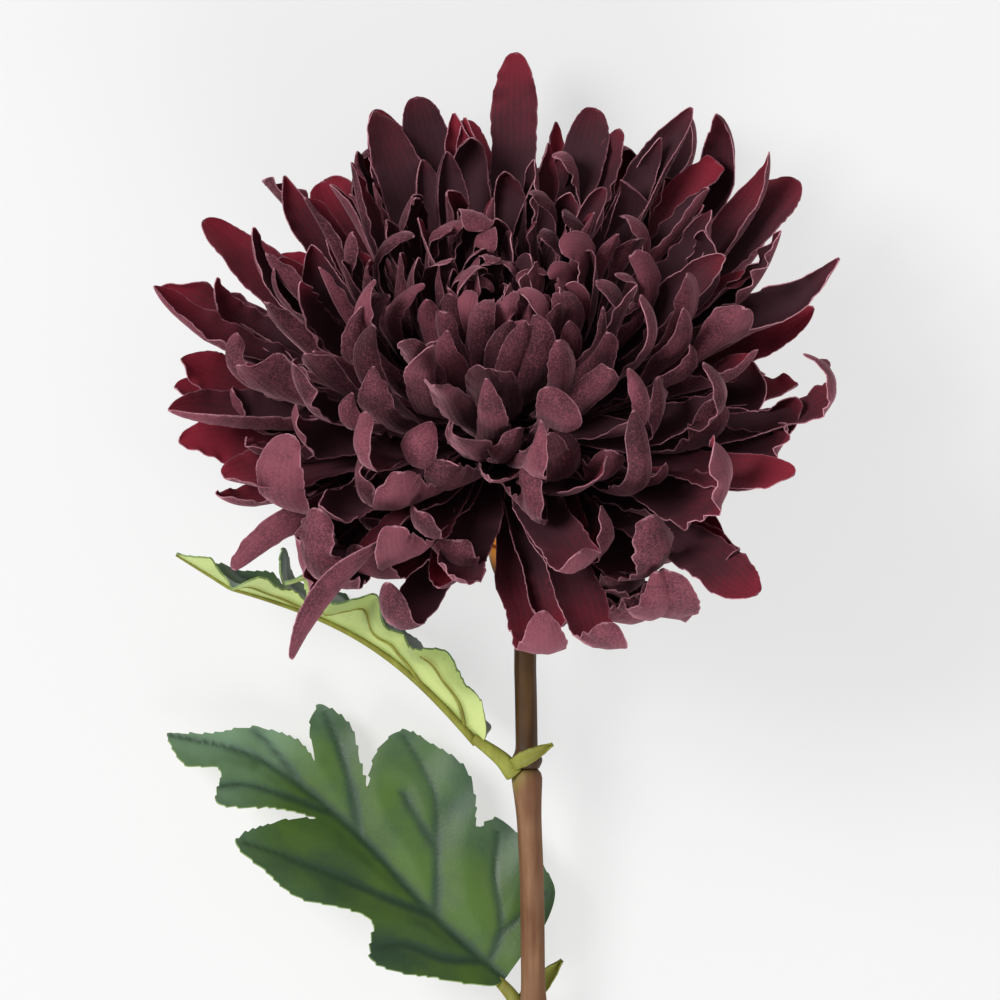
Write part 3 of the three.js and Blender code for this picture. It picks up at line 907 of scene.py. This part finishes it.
NODE_SHARE = (lower_node.y - upper_node.y) / (stem_end.y - upper_node.y)


def lower_radius(share, angle):
    collar = swell(share, 0, 0.03) + 0.8 * swell(share, NODE_SHARE, 0.02)
    ridge = 0.08 * MM * cos(4 * angle + 5 * share) + 0.05 * MM * cos(9 * angle)
    rolled_rim = ROLLED_RIM * max(0.0, 1 - share / ROLLED_RIM_END) ** 2
    return LOWER_STEM_RADIUS + NODE_SWELL * collar + ridge - rolled_rim


def stem_piece(name, node, route, rows, radius_at, material, flush_at):
    bm = bmesh.new()
    flush = bm.verts.layers.float.new("flush")
    points = even_points(route, rows)
    for vert in add_rod(bm, points, radius_at):
        vert[flush] = flush_at(vert.co)
    for face in bm.faces:
        face.smooth = len(face.verts) == 4
    bmesh.ops.recalc_face_normals(bm, faces=bm.faces)
    return stand_in(new_object(name, bm, [material]), node)


SOCKET_MOUTH = upper_node + Vector((-4 * MM, 0, 0))
upper_stem = stem_piece(
    "upper_stem_rod", "stem_upper", UPPER_ROUTE, 90, upper_radius, upper_paint,
    lambda place: 1 - smooth((place - head_end).length, 3 * MM, 9 * MM),
)
lower_stem = stem_piece(
    "lower_stem_rod", "stem_lower", LOWER_ROUTE, 220, lower_radius, lower_paint,
    lambda place: 0.7 * (1 - smooth((place - SOCKET_MOUTH).length, 2 * MM, 7 * MM)),
)
print("stem rods:", upper_stem.name, lower_stem.name)

# %% [markdown]
# ## Calyx
# Under the petals sits a cup of ribbed plastic, lime green where it holds the petals and orange at its
# neck. Its outline is spun round the head's axis, and a wave pushes it in between the five sepals.

# %% Spin the calyx
# In mm along the head's axis, and from it.
CALYX_TOP = -12.3
CALYX_OUTLINE = [
    (0, 0), (8, 0), (11.6, -0.1), (12.2, -0.8), (11.9, -3.5), (10.75, -7.8), (8.9, -11.6),
    (6.9, -15.4), (5.0, -19), (3.7, -22.4), (3.3, -25.4), (3.2, -27.6), (2.8, -28), (0, -28),
]
SEPALS = 5
bm = bmesh.new()
outline = [bm.verts.new((r * MM, 0, (CALYX_TOP + z) * MM)) for r, z in CALYX_OUTLINE]
edges = [bm.edges.new(pair) for pair in zip(outline, outline[1:])]
bmesh.ops.spin(
    bm, geom=outline + edges, cent=(0, 0, 0), axis=(0, 0, 1), angle=2 * pi, steps=80,
    use_merge=True,
)
bmesh.ops.remove_doubles(bm, verts=bm.verts, dist=0.01 * MM)
bmesh.ops.recalc_face_normals(bm, faces=bm.faces)
lime = bm.verts.layers.float.new("flush")
for vert in bm.verts:
    turn = atan2(vert.co.y, vert.co.x)
    depth = CALYX_TOP - vert.co.z / MM
    fold = 1 - 0.08 * smooth(depth, 1, 8) * abs(cos(SEPALS * turn / 2)) ** 6
    vert.co.x *= fold
    vert.co.y *= fold
    vert[lime] = 1 - smooth(depth + 2 * sin(SEPALS * turn), 9, 22)
    vert.co = TO_ROW @ vert.co
for face in bm.faces:
    face.smooth = True
calyx_paint = plastic_material("calyx_plastic", "#c8782a", "#d8943a", flush="#a9b233")
calyx = stand_in(new_object("calyx_cup", bm, [calyx_paint]), "calyx")
print("calyx:", len(calyx.data.polygons), "faces")

# %% [markdown]
# The receptacle is the foam heart that the petal rings are threaded on. The petals hide nearly all of it,
# so the CAD shape stays and only gets the rough dark skin of dyed foam.

# %% Dyed foam on the receptacle
foam, tree, shader = new_material("receptacle_core", "#2a141b", 0.95)
pores = object_texture(tree, "ShaderNodeTexVoronoi", {"Scale": 900.0}, "Distance")
colour = mixed(tree, ramp(tree, pores, 0.1, 0.6), srgb("#140a0d"), srgb("#3a1d26"))
feed(tree, colour, shader.inputs["Base Color"])
add_relief(tree, shader, pores, 0.5, 0.3 * MM)
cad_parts["receptacle"].data.materials.clear()
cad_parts["receptacle"].data.materials.append(foam)

# %% [markdown]
# ## Leaves
# Both leaves come from one mould: a lobed, toothed blade pressed into veins, with a paler underside.
# The outline is drawn flat, filled as one face and sliced both ways into small cells, because a lobed
# leaf has no rows that run unbroken from edge to edge. Each point is then folded up about the midrib,
# arched, pressed into the veins and ruffled towards its margin.

# %% The outline and the veins
# In mm: along the blade from its foot, then across it, to the left as the upper side is seen.
BLADE_LENGTH = 91
BLADE_SIDES = (-34, 19)
MIDRIB = [(0, 0), (20, -2), (43, -6.5), (60, -8), (74, -7), (91, 0)]
LEFT_EDGE = [
    (1, 3), (6, 7), (13, 11), (19, 15), (25.5, 17), (28, 13.5), (30, 9.5), (34, 9.5), (41, 13.5),
    (46, 15.5), (56, 15.5), (64.5, 13.5), (58, 1), (53, -4), (63, 1), (68, 5.5), (73, 8.5), (77, 0.5),
    (84, 4.5),
]
RIGHT_EDGE = [
    (0, -7), (0, -15.5), (2.5, -22), (7, -24.5), (15, -27), (22, -27), (24, -23), (28.5, -28),
    (34, -32), (43.5, -32), (50, -30.5), (51.5, -23), (48.5, -16), (54.5, -20.5), (60, -25),
    (67.5, -24.5), (66.5, -19.5), (61, -14), (66.5, -15.5), (76, -12.5), (83.5, -5.5),
]
VEINS = [
    [(20, -2), (30, -16), (36, -23.5), (42, -27), (49, -30)], [(29, -14.5), (35.5, -17), (42, -20)],
    [(44, -6.8), (51.5, -14), (58.5, -19.5), (66, -24)], [(5, -0.5), (7, -8), (15, -17), (20, -25)],
    [(6.6, -7.5), (5.2, -13.5), (3.7, -20.5)], [(21, -2.2), (32, 2), (42, 5), (50, 7.6), (63, 12.6)],
    [(6, -0.6), (13, 5), (22, 8.4), (26, 13)], [(51, -7.4), (64, -2.8), (71, 0.5), (75, 4.5)],
    [(60, -8), (70, -11), (76, -12)],
]


def flat_curve(corners, step):
    points = [Vector((x, y, 0)) for x, y in corners]
    length = sum((two - one).length for one, two in zip(points, points[1:]))
    return even_points(points, max(4, round(length / step)))


MIDRIB_LINE = flat_curve(MIDRIB, 1.5)
VEIN_LINES = [flat_curve(vein, 1.5) for vein in VEINS]


def midrib_at(x):
    for one, two in zip(MIDRIB_LINE, MIDRIB_LINE[1:]):
        if x <= two.x:
            break
    return one.y + (two.y - one.y) * (x - one.x) / (two.x - one.x)


def distance_to(line, place):
    best = 1e9
    for one, two in zip(line, line[1:]):
        run = two - one
        share = min(1.0, max(0.0, (place - one).dot(run) / run.length_squared))
        best = min(best, (one + run * share - place).length)
    return best


# %% Cut out the blade
# Lengths in mm.
OUTLINE_STEP = 0.45
TOOTH_STEP = 2.9
TOOTH_DEPTH = 1.0
CELL = 0.8


def toothed(points, forward):
    """Small teeth that point towards the leaf's tip."""
    result = []
    for i, point in enumerate(points):
        run = points[min(i + 1, len(points) - 1)] - points[max(i - 1, 0)]
        out = Vector((-run.y, run.x, 0)).normalized() * forward
        along = i * OUTLINE_STEP / TOOTH_STEP + 1.3 * noise.noise(point / 9)
        varied = 0.5 + 0.5 * noise.noise(point / 5 + Vector((7, 0, 0)))
        depth = TOOTH_DEPTH * smooth(point.x, 3, 9) * varied
        result.append(point + out * (along % 1.0) ** 1.5 * depth)
    return result


left_line = toothed(flat_curve([MIDRIB[0], *LEFT_EDGE, MIDRIB[-1]], OUTLINE_STEP), 1)
right_line = toothed(flat_curve([MIDRIB[0], *RIGHT_EDGE, MIDRIB[-1]], OUTLINE_STEP), -1)
BLADE_OUTLINE = left_line[:-1] + right_line[:0:-1]
print("blade outline:", len(BLADE_OUTLINE), "points")


def add_blade(bm):
    face = bm.faces.new([bm.verts.new(point) for point in BLADE_OUTLINE])
    face.normal_update()
    if face.normal.z < 0:
        bmesh.ops.reverse_faces(bm, faces=[face])
    made = bmesh.ops.triangulate(bm, faces=[face])["faces"]
    geom = set(made) | {e for f in made for e in f.edges} | {v for f in made for v in f.verts}
    for axis, start, end in ((0, 0, BLADE_LENGTH), (1, *BLADE_SIDES)):
        for i in range(1, int((end - start) / CELL) + 1):
            centre, normal = Vector((0, 0, 0)), Vector((0, 0, 0))
            centre[axis], normal[axis] = start + i * CELL, 1
            geom = set(bmesh.ops.bisect_plane(
                bm, geom=list(geom), dist=1e-4, plane_co=centre, plane_no=normal
            )["geom"])
    return [g for g in geom if isinstance(g, bmesh.types.BMVert)]


# %% Shape the blade
def new_leaf(foot, tip, face, **facts):
    """Where a leaf grows and how it is bent. Points in mm from the head's centre, folds in radians."""
    foot, tip = from_head(*foot), from_head(*tip)
    along = (tip - foot).normalized()
    across = Vector(face).cross(along).normalized()
    axes = Matrix((along, across, along.cross(across))).transposed().to_4x4()
    return SimpleNamespace(placed=Matrix.Translation(foot) @ axes, **facts)


PILLOW = 0.7  # how high the cloth stands between the veins, in mm
GROOVE = 0.25
ARCH_END = 0.82


def blade_height(leaf, place, away, nearest):
    pillow = PILLOW * (1 - exp(-((nearest / 4.5) ** 2))) * smooth(abs(away), 0.3, 5)
    groove = GROOVE * exp(-((nearest / 0.7) ** 2))
    margin = smooth(abs(away), *leaf.margin)
    ruffle = leaf.ruffle * margin * uneven(place.x, leaf.wave, leaf.phase, copysign(4, away))
    return pillow - groove + ruffle


def blade_point(leaf, place, lift=0.0):
    """Where a point of the flat blade ends up. lift is a distance above the blade, in mm."""
    rib = midrib_at(place.x)
    away = place.y - rib
    nearest = min([abs(away)] + [distance_to(line, place) for line in VEIN_LINES])
    height = blade_height(leaf, place, away, nearest) + lift
    fold = leaf.fold(place.x, away)
    side = copysign(1, away)
    y = rib + side * (abs(away) * cos(fold) - height * sin(fold))
    z = abs(away) * sin(fold) + height * cos(fold)
    z += leaf.arch * sin(pi * min(1.0, max(0.0, place.x / BLADE_LENGTH / ARCH_END)))
    bent = Vector((place.x * leaf.scale, y * leaf.scale, z)) * MM
    return above_surface(leaf.placed @ bent), nearest


# %% Leaf finishes
def leaf_group():
    """Printed green cloth: cloudy colour, painted veins and a fine pressed grain. It is lighter along the
    midrib and darker towards the margins, with painted shade in the grooves beside the veins, and it
    takes a paler colour that is partly the leaf's own tone and partly painted sheen.
    """
    tree, given, result = new_group(
        "leaf_cloth", ["Dark", "Bright", "Vein", "Pale"], {"Vein Strength": 0.6}, ["Color", "Height"]
    )
    clouds, grain = cloud(tree, 60, 3), cloud(tree, 1500, 3)
    net = object_texture(
        tree, "ShaderNodeTexVoronoi", {"Scale": 420.0}, "Distance", feature="DISTANCE_TO_EDGE"
    )
    cloudy = times(tree, ramp(tree, clouds, 0.3, 0.7), 0.6)
    # Lighter along the midrib and darker towards the margins, with painted shade in the grooves beside
    # the veins.
    share = added(tree, times(tree, attribute(tree, "lit"), 0.6), cloudy)
    share = added(tree, share, -0.2)
    share = added(tree, share, times(tree, ramp(tree, grain, 0.3, 0.8), 0.1))
    body = mixed(tree, ramp(tree, share, 0.0, 1.0), given["Dark"], given["Bright"])
    # A paler colour on the far lobe and a little towards the margins, partly the leaf's own tone and
    # partly painted sheen.
    pale = times(tree, attribute(tree, "pale"), ramp(tree, clouds, 0.25, 0.6))
    body = mixed(tree, pale, body, given["Pale"])
    mask = times(tree, attribute(tree, "vein"), given["Vein Strength"])
    feed(tree, mixed(tree, mask, body, given["Vein"]), result["Color"])
    net = times(tree, ramp(tree, net, 0.0, 0.12), 0.12)
    feed(tree, added(tree, net, times(tree, grain, 0.5)), result["Height"])
    return tree


LEAF_CLOTH = leaf_group()
LEAF_RELIEF = 0.2 * MM


def leaf_material(name, dark, bright, vein, pale, strength, roughness):
    made, tree, shader = new_material(name, bright, roughness)
    colours = {"Dark": dark, "Bright": bright, "Vein": vein, "Pale": pale}
    use_group(tree, shader, LEAF_CLOTH, colours, {"Vein Strength": strength}, 0.3, LEAF_RELIEF)
    return made


# The upper side's pale colour is partly its own tone and partly painted sheen on the far lobe.
leaf_top = leaf_material("leaf_upper_side", "#26402a", "#44601f", "#1f3620", "#6c8a74", 0.8, 0.5)
leaf_under = leaf_material("leaf_underside", "#8a9a55", "#b4c27a", "#8c8234", "#b4c27a", 0.5, 0.6)
leaf_rim = leaf_material("leaf_rim", "#55703a", "#7f9450", "#55703a", "#7f9450", 0.2, 0.6)
rib_paint = plastic_material("leaf_rib_plastic", "#6d6a28", "#8c9140", amount=0.6)
LEAF_PAINTS = [leaf_top, leaf_under, leaf_rim, rib_paint]
RIB_SLOT = LEAF_PAINTS.index(rib_paint)
LEAF_THICKNESS = 0.45 * MM
MIDRIB_RADII = (0.95, 0.25)
VEIN_RADII = (0.42, 0.15)


# %% Make a leaf
def add_leaf_rod(bm, path, radius_at, sides):
    rod = add_rod(bm, path, radius_at, sides)
    for face in {f for v in rod for f in v.link_faces}:
        face.material_index = RIB_SLOT


def add_rib(bm, leaf, line, start, end):
    """A raised rib along the underside of the blade, from radius start to radius end in mm."""
    radii = [start + (end - start) * i / (len(line) - 1) for i in range(len(line))]
    path = [
        blade_point(leaf, place, -0.4 - 0.6 * radius)[0] for place, radius in zip(line, radii)
    ]
    add_leaf_rod(bm, path, lambda share, angle: (start + (end - start) * share) * MM, 10)


def add_stalk(bm, leaf):
    """The stalk, with a channel along its upper side. It ends under the blade's foot."""
    under_blade = blade_point(leaf, Vector((leaf.stalk_end, 0, 0)), -1.2)[0]
    path = even_points([*(from_head(*place) for place in leaf.stalk), under_blade], 24)
    start, end = leaf.stalk_radius

    def radius_at(share, angle):
        channel = 1 - 0.22 * max(0.0, sin(angle)) ** 4
        return (start + (end - start) * share) * MM * channel

    add_leaf_rod(bm, path, radius_at, 20)


def add_ear(bm, vein, lit, base, tip, face_way, width):
    """A small toothed lobe at the foot of the stalk."""
    base, tip = from_head(*base), from_head(*tip)
    along = tip - base
    across = Vector(face_way).cross(along).normalized()
    up = along.normalized().cross(across)
    made = bmesh.ops.create_grid(bm, x_segments=8, y_segments=24, size=0.5)["verts"]
    for vert in made:
        side, share = 2 * vert.co.x, vert.co.y + 0.5
        tooth = 0.35 * ((share * 5) % 1.0) * smooth(share, 0.2, 0.4)
        belly = 0.45 + 0.9 * sin(pi * min(1, share / 0.9) ** 0.8)
        half = width * MM / 2 * belly * (1 - smooth(share, 0.8, 1.02))
        half += tooth * MM * abs(side) * (1 - share)
        bend = 1.2 * MM * sin(pi * share) + 0.5 * MM * side * side
        vert[vein] = exp(-((side / 0.12) ** 2))
        vert[lit] = 0.5
        vert.co = base + along * share - across * half * side + up * bend


def finish_leaf(name, node, leaf):
    blade = bmesh.new()
    vein, lit, pale = (blade.verts.layers.float.new(label) for label in ("vein", "lit", "pale"))
    for vert in add_blade(blade):
        flat = vert.co.copy()
        vert.co, nearest = blade_point(leaf, flat)
        line, stain = exp(-((nearest / 0.4) ** 2)), exp(-((nearest / 1.3) ** 2))
        vert[vein] = min(1.0, 0.8 * line + 0.25 * stain)
        away = abs(flat.y - midrib_at(flat.x))
        # Lighter along the midrib, darker towards the margins, and painted shade in the grooves close to
        # the veins.
        vert[lit] = (1 - 0.8 * smooth(away, 6, 20)) * smooth(nearest, 0, 2)
        # Paler on the far lobe and a little towards the margins: partly the leaf's own tone, partly
        # painted sheen.
        vert[pale] = 0.6 * smooth(flat.x, 58, 76) + 0.12 * smooth(away, 14, 24)
    before = len(blade.faces)
    add_ear(blade, vein, lit, *leaf.ear)
    blade.faces.ensure_lookup_table()
    for face in blade.faces[before:]:
        face.material_index = RIB_SLOT
    soften(blade)
    sheet = new_object(name, blade, LEAF_PAINTS)
    thicken(sheet, "leaf thickness", LEAF_THICKNESS)
    ribs = bmesh.new()
    add_rib(ribs, leaf, [p for p in MIDRIB_LINE if p.x > 1], *MIDRIB_RADII)
    for line in VEIN_LINES:
        add_rib(ribs, leaf, line, *VEIN_RADII)
    add_stalk(ribs, leaf)
    for face in ribs.faces:
        face.smooth = True
    bmesh.ops.recalc_face_normals(ribs, faces=ribs.faces)
    stalk = new_object(name + "_ribs", ribs, LEAF_PAINTS)
    for obj in (sheet, stalk):
        stand_in(obj, node)
        print(obj.name, "has", len(obj.data.polygons), "faces")


# %% The two leaves
def upper_fold(x, away):
    """The near half stands steep at the foot and opens; the far half lies flatter."""
    if away > 0:
        return radians(44 - 24 * smooth(x, 4, 22) - 5 * smooth(x, 30, 50) - 5 * smooth(x, 60, 75))
    return radians(14 + 22 * smooth(x, 55, 72))


def lower_fold(x, away):
    return radians(30 if away > 0 else 3)


upper_leaf = new_leaf(
    foot=(-3.6, -76.5, -27), tip=(-67.5, -36.5, -22), face=(0.5, 0.8, 0), scale=0.86, arch=6,
    fold=upper_fold, ruffle=3.4, wave=8, margin=(3, 15), phase=3.0,
    stalk=[(3, -83, -29.8), (0.5, -80, -28.4)], stalk_end=3, stalk_radius=(2.1, 1.05),
    ear=((1.6, -81.6, -28.6), (11.5, -76.6, -26.4), (0, 0, 1), 2.0),
)
lower_leaf = new_leaf(
    foot=(1.1, -128, -40.5), tip=(-72.5, -74.8, -43), face=(0, 0.12, 1), scale=1, arch=0,
    fold=lower_fold, ruffle=1.6, wave=11, margin=(5, 26), phase=8.0,
    stalk=[(4.6, -136, -39), (2.8, -132, -40)], stalk_end=3, stalk_radius=(1.8, 1.05),
    ear=((3.6, -134.6, -40.6), (13.5, -124, -43), (0, 0, 1), 3.0),
)
finish_leaf("leaf_upper_blade", "leaf_upper", upper_leaf)
finish_leaf("leaf_lower_blade", "leaf_lower", lower_leaf)
